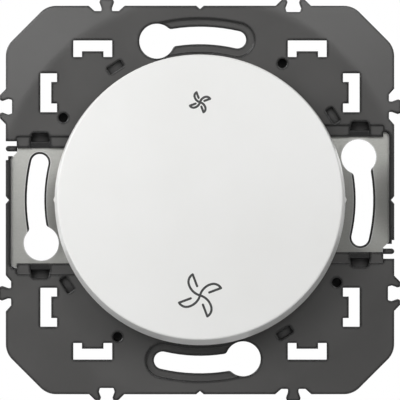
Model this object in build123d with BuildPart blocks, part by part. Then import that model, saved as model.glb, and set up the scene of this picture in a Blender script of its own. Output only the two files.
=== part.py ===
from build123d import *
import os
from math import cos, radians, sin, sqrt

os.makedirs("parts", exist_ok=True)

# Two-speed fan switch for a flush wall box, without its cover plate.
# Millimetres, +X right, +Z up. The front faces -Y and the wall surface is y = 0.
# Heights are measured from the wall towards the room, depths from the wall into the box.

# Spacing of frames
gang_gap = 0.2  # between frames that stand side by side

# Support frame
frame_side = 70.8
frame_thickness = 3.4
corner_cut = 7.5
corner_round = 4.0
front_edge_round = 0.25
crisp_edge = 3.0  # shorter edges of the outline stay sharp
slope_margin = 0.6  # the front falls away to the corners outside a circle this much wider than the frame
slope_blend = 12.0
slope_angle = 7.5
centre_notch_width = 1.4
centre_notch_depth = 0.6
corner_pocket_depth = 1.0
corner_pocket_gap = 2.2
corner_pocket_rim = 3.0
corner_rim = 1.6
rear_recess_depth = 0.4

# Dovetails that join frames side by side
dovetail_inset = 18.4
dovetail_clearance = 0.1
dovetail_round = 0.22
tab_neck_width = 1.9
tab_head_width = 2.66
tab_tip_width = 2.3
tab_waist = 0.5
tab_head_reach = 0.55
tab_reach = 1.15
notch_mouth_width = 6.6
notch_floor_width = 4.4
notch_depth = 1.08
socket_lead = 0.15

# Windows for the clips of a cover plate
clip_window_side = 15.85
clip_window_inset = 9.35
clip_window_length = 7.1
clip_window_width = 3.05
clip_tongue_length = 3.9
clip_tongue_depth = 1.05

# Small holes and recesses in the front
pilot_hole_diameter = 1.66
pilot_hole_depth = 2.9
pilot_hole_inset = 10.5
pilot_hole_side = 20.4
key_recess_inset = 1.3
key_recess_angle = 122.5
key_recess_length = 2.9
key_recess_width = 1.3
key_recess_depth = 1.0

# Keyhole slots for the box screws
screw_inset = 5.4  # from the frame's edge in to the 60 mm circle of screws
entry_diameter = 6.4
entry_angle = 15.2
slot_end_angle = 13.1
slot_width = 3.2
entry_blend = 0.8
screw_seat_width = 6.04
screw_seat_depth = 0.6
plate_slot_margin = 0.37
plate_entry_blend = 0.2

# Steel fixing plates and the ledges that hold them
plate_thickness = 1.0
plate_floor = 1.2
plate_clearance = 0.1
plate_corner_round = 0.9
plate_ear_cut = 1.15
rim_strip = 0.8
rim_step = 0.35
rim_step_length = 0.7
opening_top = 9.5
opening_bottom = 11.55
plate_lap = 0.85
ledge_width = 2.0
ledge_drop = 0.3
ledge_inset = 2.0
claw_window_inset = 6.28
claw_window_length = 3.6
claw_window_taper = 0.35
claw_window_width = 1.55
claw_lip = 1.15
claw_lip_thickness = 0.45
claw_window_floor = 0.6
finger_height = 9.35
finger_thickness = 1.0
finger_gap = 0.85
finger_top = 2.4

# Rocker
rocker_tilt = 4.5  # lean to either side of the middle
pivot_height = 6.2
cap_lap = 0.7  # of the cap's rim over the frame round the mechanism
cap_taper = 0.5
cap_rim_clearance = 0.5
cap_roof = 1.8
cap_dome = 1.1
cap_flat = 0.5  # radius of the flat at the middle of the dome
cap_wall = 1.5
cap_edge_round = 0.4
nib_width = 1.1
nib_reach = 0.22
nib_height = 1.2
mark_line = 0.42
mark_depth = 0.2
high_mark_scale = 0.98
low_mark_scale = 0.47
blade_shoulder = (0.73, 1.28)
blade_crown = (2.12, 2.08)
blade_tip = (3.87, 1.35)
blade_return = (1.71, 0.54)
low_mark_inset = 8.76
high_mark_inset = 8.05
cradle_width = 27.0
cradle_length = 34.0
cradle_thickness = 1.8
cradle_round = 2.0
cradle_gap = 0.45
cradle_arm_clearance = 0.5
cradle_arm_thickness = 2.4
trunnion_diameter = 3.0
trunnion_clearance = 0.05
trunnion_length = 2.8
hook_offset = 12.0
hook_width = 7.0
hook_thickness = 1.4
hook_barb = 0.6
hook_length = 3.2
hook_clearance = 0.2
tube_wall = 1.15
tube_end_depth = 1.4

# Plunger and its spring
plunger_diameter = 3.2
collar_diameter = 5.0
collar_clearance = 0.05
collar_thickness = 1.5
collar_height = 0.2
spring_wire = 0.5
spring_turns = 6.0
spring_clearance = 0.15
spring_gap = 0.05

# Mechanism cover
flange_lap = 1.2
flange_thickness = 1.6
flange_clearance = 0.15
cover_opening_width = 10.5
cover_opening_length = 13.0
bearing_gap = 0.4
bearing_length = 2.6
bearing_wall = 1.2
rib_thickness = 0.9
rib_length = 26.0
leg_offset = 7.5
leg_width = 5.0
leg_thickness = 1.2
leg_length = 8.2
leg_barb = 1.0
leg_barb_height = 1.6
leg_barb_depth = 4.6
leg_clearance = 0.2

# Mechanism housing
housing_inset = 11.0
housing_side_flat = 1.8
housing_end_flat = 3.4
housing_depth = 24.0
housing_wall = 1.6
rear_wall = 2.4
housing_clearance = 0.25
housing_rear_round = 1.0
partition_x = 6.0
lug_width = 6.0
lug_reach = 0.7
lug_height = 1.2
lug_gap = 0.05

# Contacts
fulcrum_depth = 5.0
fulcrum_radius = 0.4
fulcrum_width = 5.0
fulcrum_clearance = 0.1
contact_swing = 9.0  # lean of the moving contact to either side of the middle
contact_overhang = 1.7
contact_width = 6.0
contact_thickness = 1.0
contact_seat = 0.3
contact_gap = 0.1
plunger_gap = 0.05
tip_diameter = 3.0
tip_thickness = 0.8
fixed_tip_thickness = 0.9

# Terminals, clamps and release levers
terminal_thickness = 0.8
terminal_strip = 5.4
busbar_rear_gap = 1.1
busbar_width = 9.8
busbar_side_gap = 1.84
wire_wall = 1.0
wire_seat = 1.3
wire_pitch = 5.4
wire_entry_diameter = 3.6
wire_entry_lead = 0.5
clamp_strip = 0.4
clamp_width = 4.6
clamp_front_gap = 1.7
clamp_rear_gap = 1.05
clamp_bend = 0.75
clamp_turn = 142.0
clamp_gap = 0.1
clamp_reach = 10.2
lever_side_gap = 0.1
lever_width = 2.1
lever_length = 9.0
lever_stand = 1.4
lever_clearance = 0.1
lever_gap = 0.3
lever_flange = 0.9
lever_flange_thickness = 1.0
lever_flange_gap = 0.2

same_place = 0.001  # points closer than this count as one

# Places worked out from the sizes above
frame_edge = frame_side / 2
mating_line = frame_edge + gang_gap / 2
slope_start = frame_edge + slope_margin
edge_line = frame_edge - mating_line
screw_radius = frame_edge - screw_inset
dovetail_offset = frame_edge - dovetail_inset
clip_window_offset = frame_edge - clip_window_side
clip_window_radius = frame_edge - clip_window_inset
pilot_hole_x = frame_edge - pilot_hole_inset
pilot_hole_z = frame_edge - pilot_hole_side
key_recess_radius = screw_radius - key_recess_inset
claw_window_x = frame_edge - claw_window_inset
corner_pocket_radius = frame_edge + corner_pocket_gap
housing_radius = frame_edge - housing_inset
housing_flat_x = housing_radius - housing_side_flat
housing_flat_z = housing_radius - housing_end_flat
plate_outer = frame_edge - rim_strip
ledge_start = frame_edge - ledge_inset
plate_top = plate_floor + plate_thickness
flange_top = plate_floor + flange_thickness
flange_radius = housing_radius + flange_lap
rebate_radius = flange_radius + flange_clearance
rear_recess_radius = rebate_radius
cap_base_radius = rebate_radius + cap_lap
bearing_radius = trunnion_diameter / 2 + trunnion_clearance + bearing_wall
bearing_top = pivot_height + bearing_radius
cradle_rear = bearing_top + cradle_gap
cradle_front = cradle_rear + cradle_thickness
arm_outer = cradle_width / 2
arm_radius = pivot_height - flange_top - cradle_arm_clearance
post_inner = arm_outer + bearing_gap
cap_face_radius = cap_base_radius - cap_taper
cap_rim_height = frame_thickness + cap_base_radius * sin(radians(rocker_tilt)) + cap_rim_clearance
cap_edge_height = cradle_front + cap_roof
cap_top_height = cap_edge_height + cap_dome
dome_radius = (cap_face_radius**2 + cap_dome**2) / (2 * cap_dome)
cap_flat_height = cap_top_height - dome_radius + sqrt(dome_radius**2 - cap_flat**2)
contact_rear = fulcrum_depth - contact_seat
terminal_front = contact_rear + tip_thickness + contact_gap + fixed_tip_thickness
terminal_rear = terminal_front + terminal_thickness
inner_rear = housing_depth - rear_wall
partition_face = partition_x + rib_thickness
clamp_x = partition_face + clamp_gap + clamp_strip / 2
clamp_start = terminal_rear + clamp_front_gap
clamp_end = inner_rear - clamp_rear_gap - clamp_strip / 2 - clamp_bend
lever_x = clamp_x + 2 * clamp_bend + clamp_strip / 2 + lever_side_gap
wire_x = lever_x + lever_width + wire_wall + wire_entry_diameter / 2
busbar_x = wire_x + wire_seat
busbar_end = inner_rear - busbar_rear_gap
busbar_edge = sqrt((housing_radius - housing_wall) ** 2 - (busbar_x + terminal_thickness) ** 2)
contact_offset = busbar_edge - busbar_side_gap - busbar_width / 2
contact_arm = contact_offset + contact_overhang
backing_x = busbar_x + terminal_thickness + clamp_gap + rib_thickness / 2
leg_face = housing_flat_z - housing_wall - leg_clearance
corner_pocket_cut = corner_cut - 2 * corner_pocket_rim + corner_rim * sqrt(2)
low_mark_offset = cap_face_radius - low_mark_inset
high_mark_offset = cap_face_radius - high_mark_inset
hook_slot_middle = hook_offset - hook_barb / 2
hook_slot_length = hook_thickness + hook_barb + 2 * hook_clearance
collar_radius = collar_diameter / 2
bore_radius = collar_radius + collar_clearance
tube_radius = bore_radius + tube_wall

# The plunger's round tip just clears both arms of the moving contact in the middle position.
tip_radius = plunger_diameter / 2
arm_face = contact_seat + contact_thickness
tip_centre_depth = fulcrum_depth - (arm_face + tip_radius + plunger_gap) / cos(radians(contact_swing))

# Rest pose of the rocker: pressed in at the top.
tilt_sin = sin(radians(rocker_tilt))
tilt_cos = cos(radians(rocker_tilt))
rocker_normal = Vector(0, -tilt_cos, tilt_sin)
rocker_up = Vector(0, tilt_sin, tilt_cos)
pivot = Vector(0, -pivot_height, 0)
rocker_origin = pivot - rocker_normal * pivot_height


def front(height):
    # Plane parallel to the wall, seen from the room
    return Plane.XZ.offset(height)


def rocker_front(height):
    # Plane across the rocker at a height of its middle position
    return Plane(origin=rocker_origin + rocker_normal * height, x_dir=(1, 0, 0), z_dir=rocker_normal)


# Sections through the rocker's axis, with the height upwards: from above and from the right
rocker_section = Plane(origin=rocker_origin, x_dir=(1, 0, 0), z_dir=-rocker_up)
rocker_side = Plane(origin=rocker_origin, x_dir=rocker_up, z_dir=(1, 0, 0))
rocker_axis = Axis(rocker_origin, rocker_normal)


def mirrored(half):
    # Symmetric outline from the points of its right half
    return half + [(-x, y) for x, y in reversed(half)]


def block(left, right, low, high, mode=Mode.ADD):
    # Rectangle between four edges
    with Locations(((left + right) / 2, (low + high) / 2)):
        Rectangle(right - left, high - low, mode=mode)


slot_path = CenterArc((0, 0), screw_radius, 90 - slot_end_angle, slot_end_angle + entry_angle)


def keyhole_face(width, blend):
    # Slot along the screw circle with a round entry at its left end, at the top of the frame
    entry = Vector(0, screw_radius).rotate(Axis.Z, entry_angle)
    with BuildSketch() as keyhole:
        SlotArc(slot_path, width)
        with Locations(entry):
            Circle(entry_diameter / 2)
        junction = keyhole.vertices().filter_by(
            lambda v: abs((Vector(v) - entry).length - entry_diameter / 2) < same_place
        )
        fillet(junction.sort_by(Axis.X)[-2:], blend)
    return keyhole.sketch


def housing_outline(grow):
    # Round body with four flats
    Circle(housing_radius + grow)
    Rectangle(2 * (housing_flat_x + grow), 2 * (housing_flat_z + grow), mode=Mode.INTERSECT)


def is_dovetail_corner(vertex):
    # Corner of a tab or socket that isn't on the frame's straight edge
    across, along = sorted((abs(vertex.X), abs(vertex.Y)))
    return across < dovetail_offset + notch_mouth_width and abs(along - frame_edge) > same_place


def plate_face(grow):
    # Left fixing plate: rounded ear below, cut ear above, ends that run under the ledges
    outer = -plate_outer + plate_clearance - grow
    inset = -ledge_start + plate_clearance - grow
    high = opening_top + plate_lap + grow
    low = -opening_bottom - plate_lap - grow
    ear = finger_height - finger_thickness / 2 - plate_clearance + grow
    with BuildSketch() as plate:
        Polygon(
            (0, low),
            (0, high),
            (inset, high),
            (inset, ear),
            (outer, ear - plate_ear_cut),
            (outer, low),
            align=None,
        )
        fillet(plate.vertices().sort_by_distance((outer, low))[0], plate_corner_round)
        Circle(rebate_radius + plate_clearance - grow, mode=Mode.SUBTRACT)
    return plate.sketch


def stroke_face(path, width):
    # Band of even width along a path, with rounded ends
    return Face(path.offset_2d(width / 2))


def fan_symbol(scale):
    # Four blades, each a line from the middle round to its tip and part of the way back
    shoulder, crown, tip, end = (
        (x * scale, z * scale) for x, z in (blade_shoulder, blade_crown, blade_tip, blade_return)
    )
    with BuildLine() as stroke:
        rise = ThreePointArc((0, 0), shoulder, crown)
        TangentArc(crown, tip, tangent=rise % 1)
        Line(tip, end)
    with BuildSketch() as symbol:
        with PolarLocations(0, 4):
            add(stroke_face(stroke.wire(), mark_line))
    return symbol.sketch


def face_skin():
    # Thin layer of the cap under its domed face
    rim = (cap_face_radius, cap_edge_height)
    low_rim = (cap_face_radius, cap_edge_height - mark_depth)
    with BuildLine() as skin:
        TangentArc((0, cap_top_height), rim, tangent=(1, 0))
        Line(rim, low_rim)
        TangentArc((0, cap_top_height - mark_depth), low_rim, tangent=(1, 0))
        Line((0, cap_top_height - mark_depth), (0, cap_top_height))
    make_face(skin.edges())


def clamp_face(way):
    # Strip of a clamp spring seen from above: supported leg, round bend, biting leg
    with BuildLine() as strip:
        Line((way * clamp_x, clamp_start), (way * clamp_x, clamp_end))
        bend = JernArc((way * clamp_x, clamp_end), (0, 1), clamp_bend, -way * clamp_turn)
        PolarLine(bend @ 1, clamp_reach, direction=bend % 1)
    return stroke_face(strip.wire(), clamp_strip)


def lever_front(x):
    # Depth of the release lever's slanted end, a small gap behind the biting leg
    turn = radians(clamp_turn)
    bite_x = clamp_x + clamp_bend * (1 - cos(turn))
    bite_depth = clamp_end + clamp_bend * sin(turn)
    return bite_depth + ((x - bite_x) * cos(turn) + clamp_strip / 2 + lever_gap) / sin(turn)


frame_keyhole = keyhole_face(slot_width, entry_blend)
plate_keyhole = keyhole_face(slot_width + 2 * plate_slot_margin, plate_entry_blend)
plate_shape = plate_face(0)
plate_pocket = plate_face(plate_clearance)
lever_profile = [
    (lever_x, housing_depth + lever_stand),
    (lever_x, lever_front(lever_x)),
    (lever_x + lever_width, lever_front(lever_x + lever_width)),
    (lever_x + lever_width, housing_depth + lever_stand),
]

# Support frame
with BuildPart() as support_frame:
    with BuildSketch(front(0)) as outline:
        Rectangle(frame_side, frame_side)
        chamfer(outline.vertices(), corner_cut)
        fillet(outline.vertices(), corner_round)
        with PolarLocations(0, 4):
            with Locations((-dovetail_offset, mating_line)):
                notch = [
                    (notch_floor_width / 2, -notch_depth),
                    (notch_mouth_width / 2, edge_line),
                    (notch_mouth_width / 2, tab_reach),
                ]
                Polygon(*mirrored(notch), align=None, mode=Mode.SUBTRACT)
                tab = [
                    (tab_neck_width / 2, -notch_depth - tab_waist),
                    (tab_neck_width / 2, -tab_waist),
                    (tab_head_width / 2, tab_head_reach),
                    (tab_tip_width / 2, tab_reach),
                ]
                Polygon(*mirrored(tab), align=None)
            with Locations((dovetail_offset, mating_line)):
                horn_reach = notch_depth - dovetail_clearance
                horns = [
                    (notch_mouth_width / 2 - dovetail_clearance, -notch_depth),
                    (notch_mouth_width / 2 - dovetail_clearance, edge_line),
                    (notch_floor_width / 2 - dovetail_clearance, horn_reach),
                ]
                Polygon(*mirrored(horns), align=None)
                socket_mouth = tab_neck_width / 2 + dovetail_clearance
                socket = [
                    (tab_tip_width / 2 + dovetail_clearance, -tab_reach - dovetail_clearance),
                    (tab_head_width / 2 + dovetail_clearance, -tab_head_reach),
                    (socket_mouth, tab_waist),
                    (socket_mouth + socket_lead, horn_reach),
                    (socket_mouth + socket_lead, tab_reach),
                ]
                Polygon(*mirrored(socket), align=None, mode=Mode.SUBTRACT)
        dovetail_corners = outline.vertices().filter_by(is_dovetail_corner)
        fillet(dovetail_corners, dovetail_round)
        with PolarLocations(0, 4):
            with Locations((0, frame_edge)):
                centre_notch = [(0, -centre_notch_depth), (centre_notch_width / 2, 0)]
                Polygon(*centre_notch, (-centre_notch_width / 2, 0), align=None, mode=Mode.SUBTRACT)
    extrude(amount=frame_thickness)

    # The front falls away towards the corners, outside a circle.
    with BuildSketch(Plane.XY):
        with BuildLine():
            bend = JernArc((slope_start, -frame_thickness), (1, 0), slope_blend, slope_angle)
            fall = PolarLine(bend @ 1, frame_side, direction=bend % 1)
            Line(fall @ 1, ((fall @ 1).X, -frame_thickness))
            Line(((fall @ 1).X, -frame_thickness), bend @ 0)
        make_face()
    revolve(axis=Axis.Y, mode=Mode.SUBTRACT)

    # Long outer edges are softly rounded, the small dovetails stay crisp.
    side_walls = support_frame.faces().filter_by(lambda f: abs(f.normal_at().Y) < 0.01)
    front_edges = ShapeList(
        e
        for e in side_walls.edges()
        if abs((e % 0.5).Y) < 0.5 and e.center().Y < -frame_thickness / 2 and e.length > crisp_edge
    )
    fillet(front_edges, front_edge_round)

    # Opening for the housing, rebate for the cover's flange and shallow recess behind
    with BuildSketch(front(0)):
        housing_outline(housing_clearance)
    extrude(amount=frame_thickness, mode=Mode.SUBTRACT)
    with BuildSketch(front(plate_floor)):
        Circle(rebate_radius)
    extrude(amount=frame_thickness, mode=Mode.SUBTRACT)
    with BuildSketch(front(0)):
        Circle(rear_recess_radius)
    extrude(amount=rear_recess_depth, mode=Mode.SUBTRACT)

    # Pockets of the fixing plates, undercut beneath their ledges
    with BuildSketch(front(plate_floor)):
        with PolarLocations(0, 2):
            add(plate_pocket)
    extrude(amount=plate_thickness + plate_clearance, mode=Mode.SUBTRACT)
    with BuildSketch(front(plate_floor)):
        with PolarLocations(0, 2):
            add(plate_pocket)
        with PolarLocations(0, 2):
            for low, high in ((opening_top, frame_edge), (-frame_edge, -opening_bottom)):
                block(-ledge_start, 0, low, high, mode=Mode.SUBTRACT)
    extrude(amount=frame_thickness, mode=Mode.SUBTRACT)

    # Ledges lie a little below the front, each with a blind claw window and a lower lip over the steel.
    with BuildSketch(front(frame_thickness - ledge_drop)):
        with PolarLocations(0, 2):
            block(-ledge_start, 0, opening_top, opening_top + ledge_width)
            block(-ledge_start, 0, -opening_bottom - ledge_width, -opening_bottom)
    extrude(amount=frame_thickness, mode=Mode.SUBTRACT)
    with BuildSketch(front(claw_window_floor)):
        with PolarLocations(0, 2):
            for edge, way in ((opening_top, 1), (-opening_bottom, -1)):
                with Locations((-claw_window_x, edge)):
                    inner = claw_window_length / 2
                    outer = inner - claw_window_taper
                    claw_window = [
                        (inner, way * claw_lip),
                        (outer, way * (claw_lip + claw_window_width)),
                    ]
                    Polygon(*mirrored(claw_window), align=None)
    extrude(amount=frame_thickness, mode=Mode.SUBTRACT)
    with BuildSketch(front(plate_top + plate_clearance + claw_lip_thickness)):
        with PolarLocations(0, 2):
            for edge, way in ((opening_top, 1), (-opening_bottom, -1)):
                with Locations((-claw_window_x, edge + way * claw_lip / 2)):
                    Rectangle(claw_window_length, claw_lip)
    extrude(amount=frame_thickness, mode=Mode.SUBTRACT)

    # Side notch with its round-ended finger, and the stepped end of the rim strip
    notch_low = finger_height - finger_thickness / 2 - finger_gap
    notch_high = finger_height + finger_thickness / 2 + finger_gap
    with BuildSketch(front(0)):
        with PolarLocations(0, 2):
            block(-frame_side, -ledge_start, notch_low, notch_high)
            block(-frame_side, -plate_outer - rim_step, notch_low - rim_step_length, notch_low)
    extrude(amount=frame_thickness, mode=Mode.SUBTRACT)
    with BuildSketch(front(0)):
        with PolarLocations(0, 2):
            with Locations((-frame_edge + finger_thickness / 2, finger_height)):
                Circle(finger_thickness / 2)
            finger_low = finger_height - finger_thickness / 2
            block(-frame_edge + finger_thickness / 2, -ledge_start, finger_low, finger_low + finger_thickness)
    extrude(amount=finger_top)

    # Keyholes, with seats for the screw heads at the top and bottom
    with BuildSketch(front(0)):
        with PolarLocations(0, 4):
            add(frame_keyhole)
    extrude(amount=frame_thickness, mode=Mode.SUBTRACT)
    with BuildSketch(front(frame_thickness - screw_seat_depth)):
        with PolarLocations(0, 2):
            SlotArc(slot_path, screw_seat_width)
    extrude(amount=frame_thickness, mode=Mode.SUBTRACT)

    # Windows with a tongue on their inner side, for the clips of the cover plate
    with BuildSketch(front(0)):
        with PolarLocations(0, 4):
            for offset in (-clip_window_offset, clip_window_offset):
                half_window = clip_window_length / 2
                half_tongue = clip_tongue_length / 2
                window = [
                    (half_tongue, clip_tongue_depth),
                    (half_tongue, 0),
                    (half_window, 0),
                    (half_window, clip_window_width),
                ]
                with Locations((offset, clip_window_radius)):
                    Polygon(*mirrored(window), align=None)
    extrude(amount=frame_thickness, mode=Mode.SUBTRACT)

    # Pilot holes and small recesses
    with BuildSketch(front(frame_thickness - pilot_hole_depth)):
        with PolarLocations(0, 4):
            with Locations((-pilot_hole_x, pilot_hole_z)):
                Circle(pilot_hole_diameter / 2)
    extrude(amount=frame_thickness, mode=Mode.SUBTRACT)
    with BuildSketch(front(frame_thickness - key_recess_depth)):
        with PolarLocations(key_recess_radius, 4, start_angle=key_recess_angle):
            Rectangle(key_recess_width, key_recess_length)
    extrude(amount=frame_thickness, mode=Mode.SUBTRACT)

    # Corners are hollowed behind, inside a rim.
    with BuildSketch(front(0)) as pocket:
        Rectangle(frame_side - 2 * corner_pocket_rim, frame_side - 2 * corner_pocket_rim)
        chamfer(pocket.vertices(), corner_pocket_cut)
        Circle(corner_pocket_radius, mode=Mode.SUBTRACT)
    extrude(amount=corner_pocket_depth, mode=Mode.SUBTRACT)
support_frame.part.label = "support_frame"
export_step(support_frame.part, "parts/support_frame.step")

# Steel fixing plates, each with the keyhole a little wider than the frame's behind it
for side, turn in (("left", 0), ("right", 180)):
    with BuildPart() as fixing_plate:
        with BuildSketch(front(plate_floor)):
            with PolarLocations(0, 1, start_angle=turn):
                add(plate_shape)
            with PolarLocations(0, 1, start_angle=turn + 90):
                add(plate_keyhole, mode=Mode.SUBTRACT)
        extrude(amount=plate_thickness)
    fixing_plate.part.label = f"fixing_plate_{side}"
    export_step(fixing_plate.part, f"parts/fixing_plate_{side}.step")

# Mechanism cover: flange over the frame's rebate, bearing posts, hold-down ribs and snap legs
with BuildPart() as mechanism_cover:
    with BuildSketch(front(plate_floor)):
        Circle(flange_radius)
        Rectangle(cover_opening_width, cover_opening_length, mode=Mode.SUBTRACT)
    extrude(amount=flange_thickness)
    with BuildSketch(Plane.YZ.offset(post_inner)):
        block(-pivot_height, -flange_top, -bearing_radius, bearing_radius)
        with Locations((-pivot_height, 0)):
            Circle(bearing_radius)
            Circle(trunnion_diameter / 2 + trunnion_clearance, mode=Mode.SUBTRACT)
    extrude(amount=bearing_length)
    with BuildSketch(front(plate_floor)):
        block(partition_x, partition_face, -rib_length / 2, rib_length / 2)
    extrude(amount=-(plate_floor + terminal_front - contact_gap))
    with BuildSketch(front(plate_floor)):
        leg_middle = leg_face - leg_thickness / 2
        with Locations((leg_offset, leg_middle), (leg_offset, -leg_middle)):
            Rectangle(leg_width, leg_thickness)
    extrude(amount=-leg_length)
    with BuildSketch(Plane.YZ.offset(leg_offset)):
        barb = [
            (leg_barb_depth, leg_face),
            (leg_barb_depth, leg_face + leg_barb),
            (leg_barb_depth + leg_barb_height, leg_face),
        ]
        Polygon(*barb, align=None)
        Polygon(*[(depth, -face) for depth, face in barb], align=None)
    extrude(amount=leg_width / 2, both=True)
    mirror(about=Plane.YZ)
mechanism_cover.part.label = "mechanism_cover"
export_step(mechanism_cover.part, "parts/mechanism_cover.step")

# Mechanism housing: round box with flats, chambers for the terminals and entries in its rear wall
terminals = (
    ("common", -1, 0.0),
    ("low_speed", 1, -contact_offset),
    ("high_speed", 1, contact_offset),
)
with BuildPart() as mechanism_housing:
    with BuildSketch(front(plate_floor)):
        housing_outline(0)
    extrude(amount=-(plate_floor + housing_depth))
    fillet(mechanism_housing.faces().sort_by(Axis.Y)[-1].edges(), housing_rear_round)
    with BuildSketch(front(plate_floor)):
        housing_outline(-housing_wall)
    extrude(amount=-(plate_floor + inner_rear), mode=Mode.SUBTRACT)

    # Partitions carry the terminals, and outer ribs back their busbars.
    with BuildSketch(front(-inner_rear)):
        for way in (-1, 1):
            with Locations((way * (partition_x + rib_thickness / 2), 0), (way * backing_x, 0)):
                Rectangle(rib_thickness, 2 * housing_flat_z)
        block(partition_x, backing_x, -rib_thickness / 2, rib_thickness / 2)
        Circle(housing_radius - housing_wall / 2, mode=Mode.INTERSECT)
        Rectangle(2 * housing_flat_x - housing_wall, 2 * housing_flat_z - housing_wall, mode=Mode.INTERSECT)
    extrude(amount=inner_rear - terminal_rear)

    # Wire entries with a lead-in, and slots for the release levers
    with BuildSketch(front(-housing_depth)):
        for name, way, middle in terminals:
            with Locations((way * wire_x, middle - wire_pitch / 2), (way * wire_x, middle + wire_pitch / 2)):
                Circle(wire_entry_diameter / 2)
            with Locations((way * (lever_x + lever_width / 2), middle)):
                Rectangle(lever_width + 2 * lever_clearance, lever_length + 2 * lever_clearance)
    extrude(amount=rear_wall, mode=Mode.SUBTRACT)
    entry_edges = mechanism_housing.edges().filter_by(GeomType.CIRCLE)
    entry_edges = entry_edges.filter_by(lambda e: abs(e.radius - wire_entry_diameter / 2) < 0.001)
    chamfer(entry_edges.group_by(Axis.Y)[-1], wire_entry_lead)

    # Windows for the cover's snap legs, and lugs that hold the frame from behind
    with BuildSketch(Plane.XY):
        for way in (-1, 1):
            with Locations((way * leg_offset, leg_barb_depth + leg_barb_height / 2)):
                Rectangle(leg_width + 2 * leg_clearance, leg_barb_height + 2 * leg_clearance)
    extrude(amount=housing_radius, both=True, mode=Mode.SUBTRACT)
    lug_front = lug_gap - rear_recess_depth
    with BuildSketch(Plane.XY):
        lug = [(housing_flat_x, lug_front), (housing_flat_x + lug_reach, lug_front)]
        lug.append((housing_flat_x, lug_front + lug_height))
        Polygon(*lug, align=None)
        Polygon(*[(-x, y) for x, y in lug], align=None)
    extrude(amount=lug_width / 2, both=True)
    with BuildSketch(Plane.YZ):
        lug = [(lug_front, housing_flat_z), (lug_front, housing_flat_z + lug_reach)]
        lug.append((lug_front + lug_height, housing_flat_z))
        Polygon(*lug, align=None)
        Polygon(*[(y, -z) for y, z in lug], align=None)
    extrude(amount=lug_width / 2, both=True)
mechanism_housing.part.label = "mechanism_housing"
export_step(mechanism_housing.part, "parts/mechanism_housing.step")

# Fan symbols, flush with the domed face
low_symbol = fan_symbol(low_mark_scale)
high_symbol = fan_symbol(high_mark_scale)
with BuildPart() as low_speed_mark:
    with BuildSketch(rocker_front(cap_edge_height - cap_dome)):
        with Locations((0, low_mark_offset)):
            add(low_symbol)
    extrude(amount=3 * cap_dome)
    with BuildSketch(rocker_section):
        face_skin()
    revolve(axis=rocker_axis, mode=Mode.INTERSECT)
low_speed_mark.part.label = "low_speed_mark"
export_step(low_speed_mark.part, "parts/low_speed_mark.step")
with BuildPart() as high_speed_mark:
    with BuildSketch(rocker_front(cap_edge_height - cap_dome)):
        with Locations((0, -high_mark_offset)):
            add(high_symbol)
    extrude(amount=3 * cap_dome)
    with BuildSketch(rocker_section):
        face_skin()
    revolve(axis=rocker_axis, mode=Mode.INTERSECT)
high_speed_mark.part.label = "high_speed_mark"
export_step(high_speed_mark.part, "parts/high_speed_mark.step")

# Rocker cap: shallow domed cup with tapered skirt, hooked to the cradle
with BuildPart() as rocker_cap:
    with BuildSketch(rocker_section) as cup:
        with BuildLine():
            dome = RadiusArc((cap_flat, cap_flat_height), (cap_face_radius, cap_edge_height), dome_radius)
            Polyline(
                dome @ 1,
                (cap_base_radius, cap_rim_height),
                (cap_base_radius - cap_wall, cap_rim_height),
                (cap_face_radius - cap_wall, cradle_front),
                (0, cradle_front),
                (0, cap_flat_height),
                dome @ 0,
            )
        make_face()
        fillet(cup.vertices().sort_by_distance((cap_face_radius, cap_edge_height))[0], cap_edge_round)
    revolve(axis=rocker_axis)
    with BuildSketch(rocker_front(cap_rim_height)):
        nib_root = cap_base_radius - cap_wall / 2
        nib = [(nib_root, -nib_width / 2), (cap_base_radius, -nib_width / 2)]
        nib += [(cap_base_radius + nib_reach, 0), (cap_base_radius, nib_width / 2), (nib_root, nib_width / 2)]
        with PolarLocations(0, 2):
            Polygon(*nib, align=None)
    extrude(amount=nib_height)
    with BuildSketch(rocker_side):
        hook_face = hook_offset + hook_thickness / 2
        barb_top = cradle_rear - hook_clearance
        hook = [
            (hook_offset - hook_thickness / 2, cradle_front + cap_dome),
            (hook_offset - hook_thickness / 2, cradle_front - hook_length),
            (hook_face, cradle_front - hook_length),
            (hook_face + hook_barb, barb_top - hook_barb),
            (hook_face + hook_barb, barb_top),
            (hook_face, barb_top),
            (hook_face, cradle_front + cap_dome),
        ]
        Polygon(*hook, align=None)
        Polygon(*[(-x, y) for x, y in hook], align=None)
    extrude(amount=hook_width / 2, both=True)
    add(low_speed_mark.part, mode=Mode.SUBTRACT)
    add(high_speed_mark.part, mode=Mode.SUBTRACT)
rocker_cap.part.label = "rocker_cap"
export_step(rocker_cap.part, "parts/rocker_cap.step")

# Rocker cradle: plate with two trunnion arms and the plunger's tube
with BuildPart() as rocker_cradle:
    with BuildSketch(rocker_front(cradle_rear)):
        RectangleRounded(cradle_width, cradle_length, cradle_round)
        with Locations((0, hook_slot_middle), (0, -hook_slot_middle)):
            Rectangle(hook_width + 2 * hook_clearance, hook_slot_length, mode=Mode.SUBTRACT)
    extrude(amount=cradle_thickness)
    with BuildSketch(rocker_side.offset(arm_outer - cradle_arm_thickness)):
        with Locations((0, pivot_height)):
            Circle(arm_radius)
        block(-arm_radius, arm_radius, pivot_height, cradle_rear)
    extrude(amount=cradle_arm_thickness)
    with BuildSketch(Plane.YZ.offset(arm_outer)):
        with Locations((-pivot_height, 0)):
            Circle(trunnion_diameter / 2)
    extrude(amount=trunnion_length)
    mirror(about=Plane.YZ)
    with BuildSketch(rocker_front(-tube_end_depth)):
        Circle(tube_radius)
    extrude(amount=tube_end_depth + cradle_rear)
    with BuildSketch(rocker_front(-tube_end_depth)):
        Circle(bore_radius)
    extrude(amount=tube_end_depth + cradle_rear, mode=Mode.SUBTRACT)
rocker_cradle.part.label = "rocker_cradle"
export_step(rocker_cradle.part, "parts/rocker_cradle.step")

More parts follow.
